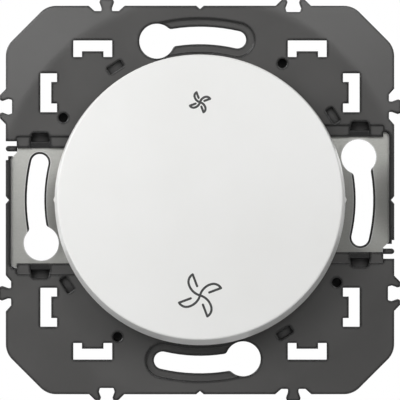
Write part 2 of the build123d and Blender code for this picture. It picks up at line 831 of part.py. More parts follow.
# Plunger with a collar that slides in the tube, and its coil spring
with BuildPart() as plunger:
    with BuildSketch(rocker_section):
        with BuildLine():
            Polyline(
                (0, -tip_centre_depth - tip_radius),
                (0, collar_height + collar_thickness),
                (collar_radius, collar_height + collar_thickness),
                (collar_radius, collar_height),
                (tip_radius, collar_height),
                (tip_radius, -tip_centre_depth),
            )
            RadiusArc((tip_radius, -tip_centre_depth), (0, -tip_centre_depth - tip_radius), tip_radius)
        make_face()
    revolve(axis=rocker_axis)
plunger.part.label = "plunger"
export_step(plunger.part, "parts/plunger.step")

spring_low = collar_height + collar_thickness + spring_gap + spring_wire / 2
spring_high = cradle_rear - spring_gap - spring_wire / 2
spring_radius = bore_radius - spring_clearance - spring_wire / 2
with BuildPart() as plunger_spring:
    with BuildLine():
        coil = Helix(
            (spring_high - spring_low) / spring_turns,
            spring_high - spring_low,
            spring_radius,
            center=rocker_origin + rocker_normal * spring_low,
            direction=rocker_normal,
        )
    with BuildSketch(Plane(origin=coil @ 0, z_dir=coil % 0)):
        Circle(spring_wire / 2)
    sweep(path=coil)
plunger_spring.part.label = "plunger_spring"
export_step(plunger_spring.part, "parts/plunger_spring.step")

# Moving contact: two arms in a shallow vee that rock on the common terminal's edge
with BuildPart() as moving_contact:
    with BuildSketch(Plane.YZ):
        with Locations((fulcrum_depth, 0)):
            block(-arm_face, -contact_seat, -contact_arm, arm_face)
        with Locations(Location((fulcrum_depth, 0, 0), (0, 0, 2 * contact_swing))):
            block(-arm_face, -contact_seat, -arm_face, contact_arm)
        with Locations((fulcrum_depth, 0)):
            Circle(fulcrum_radius + fulcrum_clearance, mode=Mode.SUBTRACT)
    extrude(amount=contact_width / 2, both=True)
moving_contact.part.label = "moving_contact"
export_step(moving_contact.part, "parts/moving_contact.step")

# Silver tips on both arms: the lower arm lies parallel to the wall, the upper one stands open.
open_swing = radians(2 * contact_swing)
open_normal = Vector(0, cos(open_swing), sin(open_swing))
open_along = Vector(0, -sin(open_swing), cos(open_swing))
open_seat = Vector(0, fulcrum_depth, 0) - open_normal * contact_seat + open_along * contact_offset
with BuildPart() as moving_contact_tips:
    with BuildSketch(front(-contact_rear)):
        with Locations((0, -contact_offset)):
            Circle(tip_diameter / 2)
    extrude(amount=-tip_thickness)
    with BuildSketch(Plane(origin=open_seat, x_dir=(1, 0, 0), z_dir=open_normal)):
        Circle(tip_diameter / 2)
    extrude(amount=tip_thickness)
moving_contact_tips.part.label = "moving_contact_tips"
export_step(moving_contact_tips.part, "parts/moving_contact_tips.step")

for name, way, middle in terminals:
    # Stamped terminal: strip across the partitions, bent back into a busbar behind the wires
    strip_ends = sorted((-way * partition_face, way * (busbar_x + terminal_thickness)))
    busbar_faces = sorted((way * busbar_x, way * (busbar_x + terminal_thickness)))
    with BuildPart() as terminal:
        with BuildSketch(front(-terminal_rear)):
            block(*strip_ends, middle - terminal_strip / 2, middle + terminal_strip / 2)
        extrude(amount=terminal_thickness)
        with BuildSketch(front(-terminal_front)):
            block(*busbar_faces, middle - busbar_width / 2, middle + busbar_width / 2)
        extrude(amount=terminal_front - busbar_end)
        if name == "common":
            # Upright edge that the moving contact rocks on
            with BuildSketch(Plane.YZ):
                with Locations((fulcrum_depth, 0)):
                    Circle(fulcrum_radius)
                block(fulcrum_depth, terminal_front, -fulcrum_radius, fulcrum_radius)
            extrude(amount=fulcrum_width / 2, both=True)
    terminal.part.label = f"{name}_terminal"
    export_step(terminal.part, f"parts/{name}_terminal.step")

    # Clamp springs: one leg on the partition, bent round to a leg that bites the wire
    with BuildPart() as clamp_springs:
        for wire in (middle - wire_pitch / 2, middle + wire_pitch / 2):
            with BuildSketch(Plane.XY.offset(wire)):
                add(clamp_face(way))
            extrude(amount=clamp_width / 2, both=True)
    clamp_springs.part.label = f"{name}_clamp_springs"
    export_step(clamp_springs.part, f"parts/{name}_clamp_springs.step")

    # Release lever: slanted end over the biting legs, flange behind the rear wall
    with BuildPart() as release_lever:
        with BuildSketch(Plane.XY.offset(middle)):
            Polygon(*[(way * x, depth) for x, depth in lever_profile], align=None)
        extrude(amount=lever_length / 2, both=True)
        with BuildSketch(front(-(inner_rear - lever_flange_gap))):
            with Locations((way * (lever_x + lever_width / 2), middle)):
                Rectangle(lever_width, lever_length + 2 * lever_flange)
        extrude(amount=lever_flange_thickness)
    release_lever.part.label = f"{name}_release_lever"
    export_step(release_lever.part, f"parts/{name}_release_lever.step")

    # Fixed silver tip
    if name != "common":
        with BuildPart() as contact_tip:
            with BuildSketch(front(-terminal_front)):
                with Locations((0, middle)):
                    Circle(tip_diameter / 2)
            extrude(amount=fixed_tip_thickness)
        contact_tip.part.label = f"{name}_contact_tip"
        export_step(contact_tip.part, f"parts/{name}_contact_tip.step")
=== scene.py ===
import math

import bpy
import numpy as np
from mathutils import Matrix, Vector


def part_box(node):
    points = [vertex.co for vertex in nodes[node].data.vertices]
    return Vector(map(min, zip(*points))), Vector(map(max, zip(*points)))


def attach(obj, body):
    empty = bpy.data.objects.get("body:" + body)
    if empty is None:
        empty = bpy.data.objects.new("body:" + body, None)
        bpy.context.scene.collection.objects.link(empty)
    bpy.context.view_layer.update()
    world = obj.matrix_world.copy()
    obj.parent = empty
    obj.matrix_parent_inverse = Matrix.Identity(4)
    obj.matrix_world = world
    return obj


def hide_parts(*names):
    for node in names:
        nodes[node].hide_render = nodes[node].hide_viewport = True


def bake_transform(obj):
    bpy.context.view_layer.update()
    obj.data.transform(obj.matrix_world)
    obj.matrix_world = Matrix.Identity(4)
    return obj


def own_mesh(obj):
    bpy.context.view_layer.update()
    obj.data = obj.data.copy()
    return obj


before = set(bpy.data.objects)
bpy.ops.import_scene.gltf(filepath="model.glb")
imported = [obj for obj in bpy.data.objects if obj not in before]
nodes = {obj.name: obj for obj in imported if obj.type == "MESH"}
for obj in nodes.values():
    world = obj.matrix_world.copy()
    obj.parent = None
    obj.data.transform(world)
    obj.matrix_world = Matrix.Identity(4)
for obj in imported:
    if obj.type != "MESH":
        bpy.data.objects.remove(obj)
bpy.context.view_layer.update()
scene = bpy.context.scene
scene.view_settings.view_transform = "Standard"
print("frame loaded,", len(nodes), "nodes")

# Camera: straight in front of the switch, far away with a long lens
cameraSetup = {"distance": 1.8, "widthSeen": 0.0730, "sensor": 36.0}
cameraData = bpy.data.cameras.new("camera")
cameraData.sensor_width = cameraSetup["sensor"]
cameraData.lens = cameraSetup["sensor"] * cameraSetup["distance"] / cameraSetup["widthSeen"]
camera = bpy.data.objects.new("camera", cameraData)
camera.location = (0, -cameraSetup["distance"], 0)
camera.rotation_euler = (math.pi / 2, 0, 0)
scene.collection.objects.link(camera)
scene.camera = camera

# Soft boxes round the camera's line: angle off that line, turn about it from the right,
# distance, size and power
softBoxes = {
    "upperLeftBox": {"off": 30, "turn": 135, "distance": 1.4, "size": 0.55, "power": 5.08},
    "upperRightBox": {"off": 30, "turn": 57, "distance": 1.4, "size": 0.55, "power": 4.88},
    "highLeftBox": {"off": 65, "turn": 152, "distance": 1.4, "size": 0.55, "power": 4.4},
    "nearLeftBox": {"off": 50, "turn": 135, "distance": 0.6, "size": 0.24, "power": 0.38},
    "leftBox": {"off": 80, "turn": 158, "distance": 0.6, "size": 0.24, "power": 0.76},
    "rightBox": {"off": 80, "turn": 0, "distance": 1.4, "size": 0.55, "power": 0.8},
    "rearLeftBox": {"off": 140, "turn": 150, "distance": 1.4, "size": 0.8, "power": 7.0},
    "rearRightBox": {"off": 145, "turn": 35, "distance": 1.4, "size": 0.8, "power": 4.5},
}
for name, box in softBoxes.items():
    lamp = bpy.data.lights.new(name, "AREA")
    lamp.shape = "SQUARE"
    lamp.size = box["size"]
    lamp.energy = box["power"]
    off, turn = math.radians(box["off"]), math.radians(box["turn"])
    out = np.array([math.sin(off) * math.cos(turn), -math.cos(off), math.sin(off) * math.sin(turn)])
    lampObject = bpy.data.objects.new(name, lamp)
    lampObject.location = out * box["distance"]
    lampObject.rotation_euler = (math.acos(out[2]), 0.0, math.atan2(-out[1], -out[0]) - math.pi / 2)
    scene.collection.objects.link(lampObject)
print("camera and lamps placed")


def wire(tree, start, end):
    tree.links.new(start, end)


def addNode(tree, kind, **values):
    node = tree.nodes.new(kind)
    for key, value in values.items():
        setattr(node, key, value)
    return node


def mathNode(tree, operation, first, second, clamp=False):
    node = addNode(tree, "ShaderNodeMath", operation=operation, use_clamp=clamp)
    for socket, value in zip(node.inputs, (first, second)):
        if isinstance(value, (int, float)):
            socket.default_value = value
        else:
            wire(tree, value, socket)
    return node.outputs[0]


mixSockets = {"factor": 0, "first": 6, "second": 7, "result": 2}  # where a Mix node keeps its colours


def mixColour(tree, factor, first, second):
    node = addNode(tree, "ShaderNodeMix", data_type="RGBA")
    for place, value in (("factor", factor), ("first", first), ("second", second)):
        socket = node.inputs[mixSockets[place]]
        if isinstance(value, tuple):
            socket.default_value = value
        else:
            wire(tree, value, socket)
    return node.outputs[mixSockets["result"]]


def mixShaders(tree, share, first, second):
    node = addNode(tree, "ShaderNodeMixShader")
    for socket, value in zip(node.inputs, (share, first, second)):
        wire(tree, value, socket)
    return node.outputs[0]


def rangeOf(tree, value, source=(0.0, 1.0), target=(0.0, 1.0)):
    node = addNode(tree, "ShaderNodeMapRange", clamp=True)
    wire(tree, value, node.inputs["Value"])
    for key, number in zip(("From Min", "From Max", "To Min", "To Max"), (*source, *target)):
        node.inputs[key].default_value = number
    return node.outputs["Result"]


def coordinates(tree, space):
    split = addNode(tree, "ShaderNodeSeparateXYZ")
    wire(tree, addNode(tree, "ShaderNodeTexCoord").outputs[space], split.inputs[0])
    return split.outputs


def noise(tree, spot, scale, detail):
    node = addNode(tree, "ShaderNodeTexNoise")
    node.inputs["Detail"].default_value = detail
    wire(tree, spot, node.inputs["Vector"])
    if isinstance(scale, float):
        node.inputs["Scale"].default_value = scale
    else:
        wire(tree, scale, node.inputs["Scale"])
    return node.outputs["Fac"]


def seenWhite(tree, depth, backdrop):
    # White wherever it is seen straight on, and in reflections only towards the backdrop
    rays = addNode(tree, "ShaderNodeLightPath").outputs
    direct = mathNode(tree, "MAXIMUM", rays["Is Camera Ray"], rays["Is Transmission Ray"])
    mirrored = mathNode(tree, "MULTIPLY", rays["Is Glossy Ray"], rangeOf(tree, depth, backdrop))
    return mathNode(tree, "MAXIMUM", direct, mirrored)


def grey(level, warm=0.0):
    return (level * (1 + warm), level, level * (1 - warm), 1.0)


# World: white behind the switch, even grey room light
roomLight = {"level": 0.30, "backdrop": (0.0, 0.35)}
white = grey(1.0)
world = bpy.data.worlds.new("studio")
scene.world = world
world.use_nodes = True
tree = world.node_tree
tree.nodes.clear()
roomShade = addNode(tree, "ShaderNodeBackground")
roomShade.inputs["Strength"].default_value = roomLight["level"]
whiteShade = addNode(tree, "ShaderNodeBackground")
whiteShade.inputs["Color"].default_value = white
whiteShade.inputs["Strength"].default_value = 1.0
seen = seenWhite(tree, coordinates(tree, "Generated")["Y"], roomLight["backdrop"])
sky = mixShaders(tree, seen, roomShade.outputs[0], whiteShade.outputs[0])
wire(tree, sky, addNode(tree, "ShaderNodeOutputWorld").inputs["Surface"])


def newGroup(name, inputs, outputs):
    group = bpy.data.node_groups.new(name, "ShaderNodeTree")
    for label, value in inputs.items():
        socket = group.interface.new_socket(label, in_out="INPUT", socket_type="NodeSocketFloat")
        socket.default_value = value
    for label, kind in outputs.items():
        group.interface.new_socket(label, in_out="OUTPUT", socket_type=kind)
    start = addNode(group, "NodeGroupInput")
    end = addNode(group, "NodeGroupOutput")
    return group, start.outputs, end.inputs


# Moulded grain: fine pits of a spark-eroded mould, and slow cloudy changes of shade and gloss
grainSetup = {
    "pitDetail": 2.0, "cloudDetail": 3.0, "cloudRange": (0.3, 0.7),
    "speckFineness": 3.0, "speckDetail": 0.0, "speckRange": (0.35, 0.75),
}
mouldedGrain, take, give = newGroup(
    "mouldedGrain",
    {"Grain Size": 0.00018, "Cloud Size": 0.012},
    {"Pits": "NodeSocketFloat", "Clouds": "NodeSocketFloat", "Specks": "NodeSocketFloat"},
)
spot = addNode(mouldedGrain, "ShaderNodeTexCoord").outputs["Object"]
pitScale = mathNode(mouldedGrain, "DIVIDE", 1.0, take["Grain Size"])
cloudScale = mathNode(mouldedGrain, "DIVIDE", 1.0, take["Cloud Size"])
speckScale = mathNode(mouldedGrain, "DIVIDE", grainSetup["speckFineness"], take["Grain Size"])
pits = noise(mouldedGrain, spot, pitScale, grainSetup["pitDetail"])
clouds = noise(mouldedGrain, spot, cloudScale, grainSetup["cloudDetail"])
specks = noise(mouldedGrain, spot, speckScale, grainSetup["speckDetail"])
wire(mouldedGrain, pits, give["Pits"])
wire(mouldedGrain, rangeOf(mouldedGrain, clouds, grainSetup["cloudRange"]), give["Clouds"])
wire(mouldedGrain, rangeOf(mouldedGrain, specks, grainSetup["speckRange"]), give["Specks"])

# Rolled sheet: fine streaks along X from the rolls, with slow bands of gloss
sheetSetup = {
    "streakScale": 1.0, "streakDetail": 3.0, "streakRange": (0.3, 0.7),
    "bandScale": 0.12, "bandDetail": 2.0, "bandRange": (0.3, 0.7),
    "speckScale": 4000.0, "speckDetail": 2.0, "speckRange": (0.4, 0.7),
}
rolledSheet, take, give = newGroup(
    "rolledSheet",
    {"Streak Width": 0.00012, "Streak Length": 0.006},
    {"Streaks": "NodeSocketFloat", "Bands": "NodeSocketFloat", "Specks": "NodeSocketFloat"},
)
spot = addNode(rolledSheet, "ShaderNodeTexCoord").outputs["Object"]
across = mathNode(rolledSheet, "DIVIDE", 1.0, take["Streak Width"])
along = mathNode(rolledSheet, "DIVIDE", 1.0, take["Streak Length"])
stretch = addNode(rolledSheet, "ShaderNodeCombineXYZ")
for axis, scale in (("X", along), ("Y", across), ("Z", across)):
    wire(rolledSheet, scale, stretch.inputs[axis])
stretched = addNode(rolledSheet, "ShaderNodeVectorMath", operation="MULTIPLY")
wire(rolledSheet, spot, stretched.inputs[0])
wire(rolledSheet, stretch.outputs[0], stretched.inputs[1])
streaks = noise(rolledSheet, stretched.outputs[0], sheetSetup["streakScale"], sheetSetup["streakDetail"])
bands = noise(rolledSheet, stretched.outputs[0], sheetSetup["bandScale"], sheetSetup["bandDetail"])
specks = noise(rolledSheet, spot, sheetSetup["speckScale"], sheetSetup["speckDetail"])
wire(rolledSheet, rangeOf(rolledSheet, streaks, sheetSetup["streakRange"]), give["Streaks"])
wire(rolledSheet, rangeOf(rolledSheet, bands, sheetSetup["bandRange"]), give["Bands"])
wire(rolledSheet, rangeOf(rolledSheet, specks, sheetSetup["speckRange"]), give["Specks"])

# Edge shade: how near an outer edge is, how closed in the surface is, and its normal with the edges rounded
edgeSetup = {"samples": 8, "outerRange": (0.75, 0.94), "closedRange": (0.2, 0.85)}
edgeShade, take, give = newGroup(
    "edgeShade",
    {"Edge Radius": 0.0002, "Edge Reach": 0.0005, "Reach": 0.0015},
    {"Edge": "NodeSocketFloat", "Crevice": "NodeSocketFloat", "Rounded": "NodeSocketVector"},
)
samples = edgeSetup["samples"]
rounded = addNode(edgeShade, "ShaderNodeBevel", samples=samples)
wire(edgeShade, take["Edge Radius"], rounded.inputs["Radius"])
wire(edgeShade, rounded.outputs["Normal"], give["Rounded"])
outer = addNode(edgeShade, "ShaderNodeAmbientOcclusion", samples=samples, only_local=True, inside=True)
wire(edgeShade, take["Edge Reach"], outer.inputs["Distance"])
edge = rangeOf(edgeShade, outer.outputs["AO"], edgeSetup["outerRange"], (1.0, 0.0))
wire(edgeShade, edge, give["Edge"])
closed = addNode(edgeShade, "ShaderNodeAmbientOcclusion", samples=samples, only_local=True)
wire(edgeShade, take["Reach"], closed.inputs["Distance"])
crevice = rangeOf(edgeShade, closed.outputs["AO"], edgeSetup["closedRange"], (1.0, 0.0))
wire(edgeShade, crevice, give["Crevice"])
print("shared finishes made")


def finish(name, **constants):
    material = bpy.data.materials.new(name)
    material.use_nodes = True
    shader = material.node_tree.nodes["Principled BSDF"]
    for label, value in constants.items():
        shader.inputs[label].default_value = value
    return material, material.node_tree, shader


def placeGroup(tree, group, **values):
    node = addNode(tree, "ShaderNodeGroup", node_tree=group)
    for label, value in values.items():
        node.inputs[label].default_value = value
    return node.outputs


def roughen(tree, shader, height, strength, distance, normal=None):
    bump = addNode(tree, "ShaderNodeBump")
    bump.inputs["Strength"].default_value = strength
    bump.inputs["Distance"].default_value = distance
    wire(tree, height, bump.inputs["Height"])
    if normal:
        wire(tree, normal, bump.inputs["Normal"])
    wire(tree, bump.outputs["Normal"], shader.inputs["Normal"])


def tint(tree, shade, mask, share, colour):
    # Where the mask is full, this share of the other colour shows
    return mixColour(tree, rangeOf(tree, mask, target=(0.0, share)), shade, colour)


# Near-black colour of the painted shade at the bottom of a recess
recessShadeColour = grey(0.004)


def shadeEdges(tree, shade, gloss, look):
    sizes = {"Edge Radius": look["edgeRadius"], "Edge Reach": look["edgeReach"], "Reach": look["reach"]}
    marks = placeGroup(tree, edgeShade, **sizes)
    # Edge colour: painted dark shade along the frame's edges, lighter worn edges on the housing and levers,
    # lighter edges on the steel
    shade = tint(tree, shade, marks["Edge"], look["edgeShare"], look["edgeColour"])
    deep = mathNode(tree, "MULTIPLY", marks["Crevice"], marks["Crevice"])  # squared, so that shallow recesses get little painted shade and roughness
    # Painted shade: the more closed in a recess is, the nearer its colour goes to black
    shade = tint(tree, shade, deep, look["recessShade"], recessShadeColour)
    polish = rangeOf(tree, marks["Edge"], target=(1.0, look["edgeGloss"]))  # worn edges are smoother
    gloss = mathNode(tree, "MULTIPLY", gloss, polish)
    dust = rangeOf(tree, deep, target=(0.0, look["creviceDust"]))
    gloss = mathNode(tree, "ADD", gloss, dust, clamp=True)
    return shade, gloss, marks["Rounded"]


def plasticFinish(name, look):
    material, tree, shader = finish(name, IOR=1.5)
    grain = placeGroup(tree, mouldedGrain, **{"Grain Size": look["grain"], "Cloud Size": look["cloud"]})
    shade = mixColour(tree, grain["Clouds"], look["darker"], look["lighter"])
    shade = tint(tree, shade, grain["Specks"], look["speckle"], look["speck"])
    gloss = rangeOf(tree, grain["Clouds"], target=look["roughness"])
    rounded = None
    if "edgeRadius" in look:
        shade, gloss, rounded = shadeEdges(tree, shade, gloss, look)
    wire(tree, shade, shader.inputs["Base Color"])
    wire(tree, gloss, shader.inputs["Roughness"])
    roughen(tree, shader, grain["Pits"], look["bump"], look["depth"], rounded)
    return material


# Near-black colour of the painted shade patches on the steel plates
patchShadeColour = grey(0.02)


def metalFinish(name, look):
    material, tree, shader = finish(name, Metallic=1.0)
    sheet = placeGroup(tree, rolledSheet, **{"Streak Width": look["width"], "Streak Length": look["length"]})
    shade = mixColour(tree, sheet["Streaks"], look["darker"], look["lighter"])
    shade = tint(tree, shade, sheet["Bands"], look["banding"], look["band"])
    shade = tint(tree, shade, sheet["Specks"], look["speckle"], look["speck"])
    gloss = rangeOf(tree, sheet["Streaks"], target=look["roughness"])
    if "edgeRadius" in look:
        shade, gloss = shadeEdges(tree, shade, gloss, look)[:2]  # sheared edges aren't rounded
    spot = coordinates(tree, "Object")
    for patch in look.get("shadePatches", ()):
        # Painted shade on the plates: darkest in the middle of an ellipse, gone at its rim
        spread = 0.0
        for axis, middle, reach in zip("XZ", patch["middle"], patch["reach"]):
            away = mathNode(tree, "DIVIDE", mathNode(tree, "SUBTRACT", spot[axis], middle), reach)
            spread = mathNode(tree, "ADD", mathNode(tree, "MULTIPLY", away, away), spread)
        patchShade = addNode(tree, "ShaderNodeMapRange", interpolation_type="SMOOTHSTEP")
        wire(tree, spread, patchShade.inputs["Value"])
        patchShade.inputs["To Min"].default_value = patch["shadeAmount"]
        patchShade.inputs["To Max"].default_value = 0.0
        shade = mixColour(tree, patchShade.outputs["Result"], shade, patchShadeColour)
    wire(tree, shade, shader.inputs["Base Color"])
    wire(tree, gloss, shader.inputs["Roughness"])
    height = mathNode(tree, "MULTIPLY", sheet["Streaks"], look["depth"])
    for axis, bend in zip("XZ", look.get("bow", ())):
        # The sheet falls away from its middle with the square of the distance, sideways and up
        square = mathNode(tree, "MULTIPLY", spot[axis], spot[axis])
        height = mathNode(tree, "SUBTRACT", height, mathNode(tree, "MULTIPLY", square, bend))
    roughen(tree, shader, height, strength=1.0, distance=1.0)  # the height is in metres already
    return material


plasticLooks = {
    "framePlastic": {
        "darker": grey(0.056, 0.02), "lighter": grey(0.066, 0.02), "speck": grey(0.09, 0.03), "speckle": 0.25,
        "grain": 0.00016, "cloud": 0.011, "roughness": (0.30, 0.36), "bump": 0.25, "depth": 0.00002,
        # Painted shade: near-black outline along the edges and near-black recesses
        "edgeRadius": 0.0004, "edgeReach": 0.0006, "edgeShare": 0.9, "edgeColour": grey(0.006),
        "edgeGloss": 0.8, "reach": 0.0014, "recessShade": 0.97, "creviceDust": 0.6,
    },
    "rockerPlastic": {
        "darker": (0.79, 0.79, 0.775, 1), "lighter": (0.81, 0.81, 0.80, 1), "speck": (0.76, 0.76, 0.75, 1),
        "speckle": 0.15, "grain": 0.00025, "cloud": 0.016, "roughness": (0.30, 0.36), "bump": 0.06,
        "depth": 0.00001,
    },
    "coverPlastic": {
        "darker": grey(0.045), "lighter": grey(0.055), "speck": grey(0.07), "speckle": 0.2,
        "grain": 0.00016, "cloud": 0.010, "roughness": (0.42, 0.50), "bump": 0.25, "depth": 0.00002,
    },
    "housingPlastic": {
        "darker": grey(0.040), "lighter": grey(0.052), "speck": grey(0.07), "speckle": 0.25,
        "grain": 0.00018, "cloud": 0.013, "roughness": (0.42, 0.52), "bump": 0.3, "depth": 0.00002,
        "edgeRadius": 0.0001, "edgeReach": 0.0004, "edgeShare": 0.6, "edgeColour": grey(0.16),
        "edgeGloss": 0.7, "reach": 0.0012, "recessShade": 0.7, "creviceDust": 0.3,
    },
    "cradlePlastic": {
        "darker": (0.62, 0.62, 0.60, 1), "lighter": (0.68, 0.68, 0.66, 1), "speck": (0.58, 0.58, 0.56, 1),
        "speckle": 0.2, "grain": 0.0002, "cloud": 0.010, "roughness": (0.38, 0.46), "bump": 0.15,
        "depth": 0.00002,
    },
    "plungerPlastic": {
        "darker": (0.60, 0.57, 0.48, 1), "lighter": (0.68, 0.65, 0.56, 1), "speck": (0.55, 0.52, 0.44, 1),
        "speckle": 0.2, "grain": 0.0002, "cloud": 0.004, "roughness": (0.30, 0.40), "bump": 0.1,
        "depth": 0.00001,
    },
    "leverPlastic": {
        "darker": (0.70, 0.19, 0.03, 1), "lighter": (0.80, 0.24, 0.04, 1), "speck": (0.60, 0.15, 0.02, 1),
        "speckle": 0.25, "grain": 0.00018, "cloud": 0.006, "roughness": (0.36, 0.46), "bump": 0.2,
        "depth": 0.00002,
        "edgeRadius": 0.0002, "edgeReach": 0.0003, "edgeShare": 0.5, "edgeColour": (0.88, 0.34, 0.09, 1),
        "edgeGloss": 0.8, "reach": 0.0008, "recessShade": 0.4, "creviceDust": 0.2,
    },
    "markInk": {
        "darker": grey(0.028), "lighter": grey(0.040), "speck": grey(0.055), "speckle": 0.3,
        "grain": 0.00012, "cloud": 0.002, "roughness": (0.50, 0.62), "bump": 0.1, "depth": 0.00001,
    },
}
metalLooks = {
    "fixingSteel": {
        "darker": (0.385, 0.387, 0.365, 1), "lighter": (0.435, 0.437, 0.412, 1),
        "band": (0.40, 0.40, 0.38, 1), "banding": 0.3, "speck": grey(0.50, 0.02), "speckle": 0.3,
        "width": 0.00006, "length": 0.0012, "roughness": (0.33, 0.39), "depth": 0.000002, "bow": (1.4, 1.7),
        "edgeRadius": 0.0002, "edgeReach": 0.0002, "edgeShare": 0.6, "edgeColour": grey(0.7),
        "edgeGloss": 1.0, "reach": 0.0008, "recessShade": 0.3, "creviceDust": 0.1,
        # Ellipses of painted shade on the plates: middle, reach and how dark in the middle
        "shadePatches": [
            {"middle": (0.0362, 0.0002), "reach": (0.0075, 0.0088), "shadeAmount": 0.55},
            {"middle": (0.0265, -0.0040), "reach": (0.0055, 0.0170), "shadeAmount": 0.40},
            {"middle": (-0.0255, -0.0025), "reach": (0.0040, 0.0090), "shadeAmount": 0.45},
        ],
    },
    "springSteel": {
        "darker": (0.42, 0.41, 0.39, 1), "lighter": (0.56, 0.55, 0.52, 1), "band": (0.35, 0.33, 0.30, 1),
        "banding": 0.3, "speck": grey(0.60), "speckle": 0.2, "width": 0.00008, "length": 0.002,
        "roughness": (0.25, 0.38), "depth": 0.000002,
    },
    "contactMetal": {
        "darker": (0.70, 0.47, 0.20, 1), "lighter": (0.83, 0.60, 0.29, 1), "band": (0.58, 0.36, 0.15, 1),
        "banding": 0.4, "speck": (0.62, 0.40, 0.17, 1), "speckle": 0.25, "width": 0.0001, "length": 0.004,
        "roughness": (0.28, 0.42), "depth": 0.000002,
    },
    "tipSilver": {
        "darker": (0.78, 0.77, 0.74, 1), "lighter": (0.90, 0.89, 0.86, 1), "band": (0.66, 0.64, 0.58, 1),
        "banding": 0.3, "speck": (0.70, 0.69, 0.64, 1), "speckle": 0.2, "width": 0.00006, "length": 0.0006,
        "roughness": (0.25, 0.40), "depth": 0.000002,
    },
}
finishes = {name: plasticFinish(name, look) for name, look in plasticLooks.items()}
finishes.update({name: metalFinish(name, look) for name, look in metalLooks.items()})

nodeFinishes = {
    "framePlastic": ["support_frame"],
    "fixingSteel": ["fixing_plate_left", "fixing_plate_right"],
    "rockerPlastic": ["rocker_cap"],
    "markInk": ["low_speed_mark", "high_speed_mark"],
    "coverPlastic": ["mechanism_cover"],
    "housingPlastic": ["mechanism_housing"],
    "cradlePlastic": ["rocker_cradle"],
    "plungerPlastic": ["plunger"],
    "springSteel": [
        "plunger_spring", "common_clamp_springs", "low_speed_clamp_springs", "high_speed_clamp_springs",
    ],
    "contactMetal": ["moving_contact", "common_terminal", "low_speed_terminal", "high_speed_terminal"],
    "tipSilver": ["moving_contact_tips", "low_speed_contact_tip", "high_speed_contact_tip"],
    "leverPlastic": ["common_release_lever", "low_speed_release_lever", "high_speed_release_lever"],
}
for finishName, nodeNames in nodeFinishes.items():
    for nodeName in nodeNames:
        nodes[nodeName].data.materials.clear()
        nodes[nodeName].data.materials.append(finishes[finishName])
print("materials set on", sum(len(names) for names in nodeFinishes.values()), "nodes")

meshSetup = {"sharpAngle": 50, "ridgeSides": 12, "cornerPoints": 9, "linePoints": 6}
endAngles = np.radians([25, 50, 70, 88])  # steps round a half-round end


def wrapFaces(rows, columns, closed):
    # Quads between neighbouring rows of points, each row a ring, and a cap on each open end
    row = np.arange(rows if closed else rows - 1)[:, None]
    column = np.arange(columns)[None, :]
    nextRow, nextColumn = (row + 1) % rows, (column + 1) % columns
    corners = ((row, column), (nextRow, column), (nextRow, nextColumn), (row, nextColumn))
    quads = np.stack([r * columns + c for r, c in corners], axis=-1).reshape(-1, 4)
    ring = np.arange(columns)
    caps = np.stack([ring, ring[::-1] + (rows - 1) * columns])
    return quads, caps[:0] if closed else caps


def addPiece(name, shapes, material):
    # One mesh from several shapes, each given as points, quads and caps
    points, faces, count = [], [], 0
    for shapePoints, quads, caps in shapes:
        points.append(shapePoints)
        faces += (quads + count).tolist() + (caps + count).tolist()
        count += len(shapePoints)
    mesh = bpy.data.meshes.new(name)
    mesh.from_pydata(np.concatenate(points).tolist(), [], faces)
    mesh.shade_smooth()
    mesh.set_sharp_from_angle(angle=math.radians(meshSetup["sharpAngle"]))
    mesh.materials.append(material)
    piece = bpy.data.objects.new(name, mesh)
    scene.collection.objects.link(piece)
    return piece


def ridge(path, closed, width, height, level):
    # An ellipse, half sunk in the wall, is carried along a flat path given as x and z.
    # Past an open end its size falls as the cosine while its place moves on as the sine.
    path = np.asarray(path, float)
    sizes = np.ones(len(path))
    if closed:
        ahead = np.roll(path, -1, axis=0) - np.roll(path, 1, axis=0)
    else:
        ahead = np.gradient(path, axis=0)
        ahead /= np.linalg.norm(ahead, axis=1)[:, None]
        front = path[-1] + np.sin(endAngles)[:, None] * ahead[-1] * width / 2
        back = path[0] - np.sin(endAngles)[::-1, None] * ahead[0] * width / 2
        path = np.concatenate([back, path, front])
        more = (len(endAngles), 1)
        ahead = np.concatenate([np.tile(ahead[0], more), ahead, np.tile(ahead[-1], more)])
        sizes = np.concatenate([np.cos(endAngles)[::-1], sizes, np.cos(endAngles)])
    ahead /= np.linalg.norm(ahead, axis=1)[:, None]
    side = np.stack([-ahead[:, 1], ahead[:, 0]], axis=1)
    turns = np.linspace(0.0, 2 * np.pi, meshSetup["ridgeSides"], endpoint=False)
    across = path[:, None, :] + (sizes[:, None] * np.cos(turns) * width / 2)[..., None] * side[:, None, :]
    out = level + sizes[:, None] * np.sin(turns) * height
    points = np.stack([across[..., 0], out, across[..., 1]], axis=-1).reshape(-1, 3)
    return points, *wrapFaces(len(path), len(turns), closed)


def arcPath(middle, radius, start, end, count):
    # Points on a circle's arc, the angle growing evenly
    angles = np.radians(np.linspace(start, end, count))
    return np.asarray(middle) + radius * np.stack([np.cos(angles), np.sin(angles)], axis=1)


def roundedField(low, high, radius):
    # Rectangle with quarter circles for corners
    corners = np.array([high, (low[0], high[1]), low, (high[0], low[1])])
    middles = corners + np.sign(np.mean([low, high], axis=0) - corners) * radius
    starts = (0, 90, 180, 270)
    quarters = [
        arcPath(middle, radius, start, start + 90, meshSetup["cornerPoints"])
        for middle, start in zip(middles, starts)
    ]
    return np.concatenate(quarters)


def straight(start, end):
    # Evenly spaced points from one end to the other
    return np.linspace(start, end, meshSetup["linePoints"])


# Each terminal's side, its height and the sign beside it
terminals = {
    "common": {"way": -1, "height": 0.0, "sign": "L"},
    "low_speed": {"way": 1, "height": -0.0095, "sign": "1"},
    "high_speed": {"way": 1, "height": 0.0095, "sign": "2"},
}

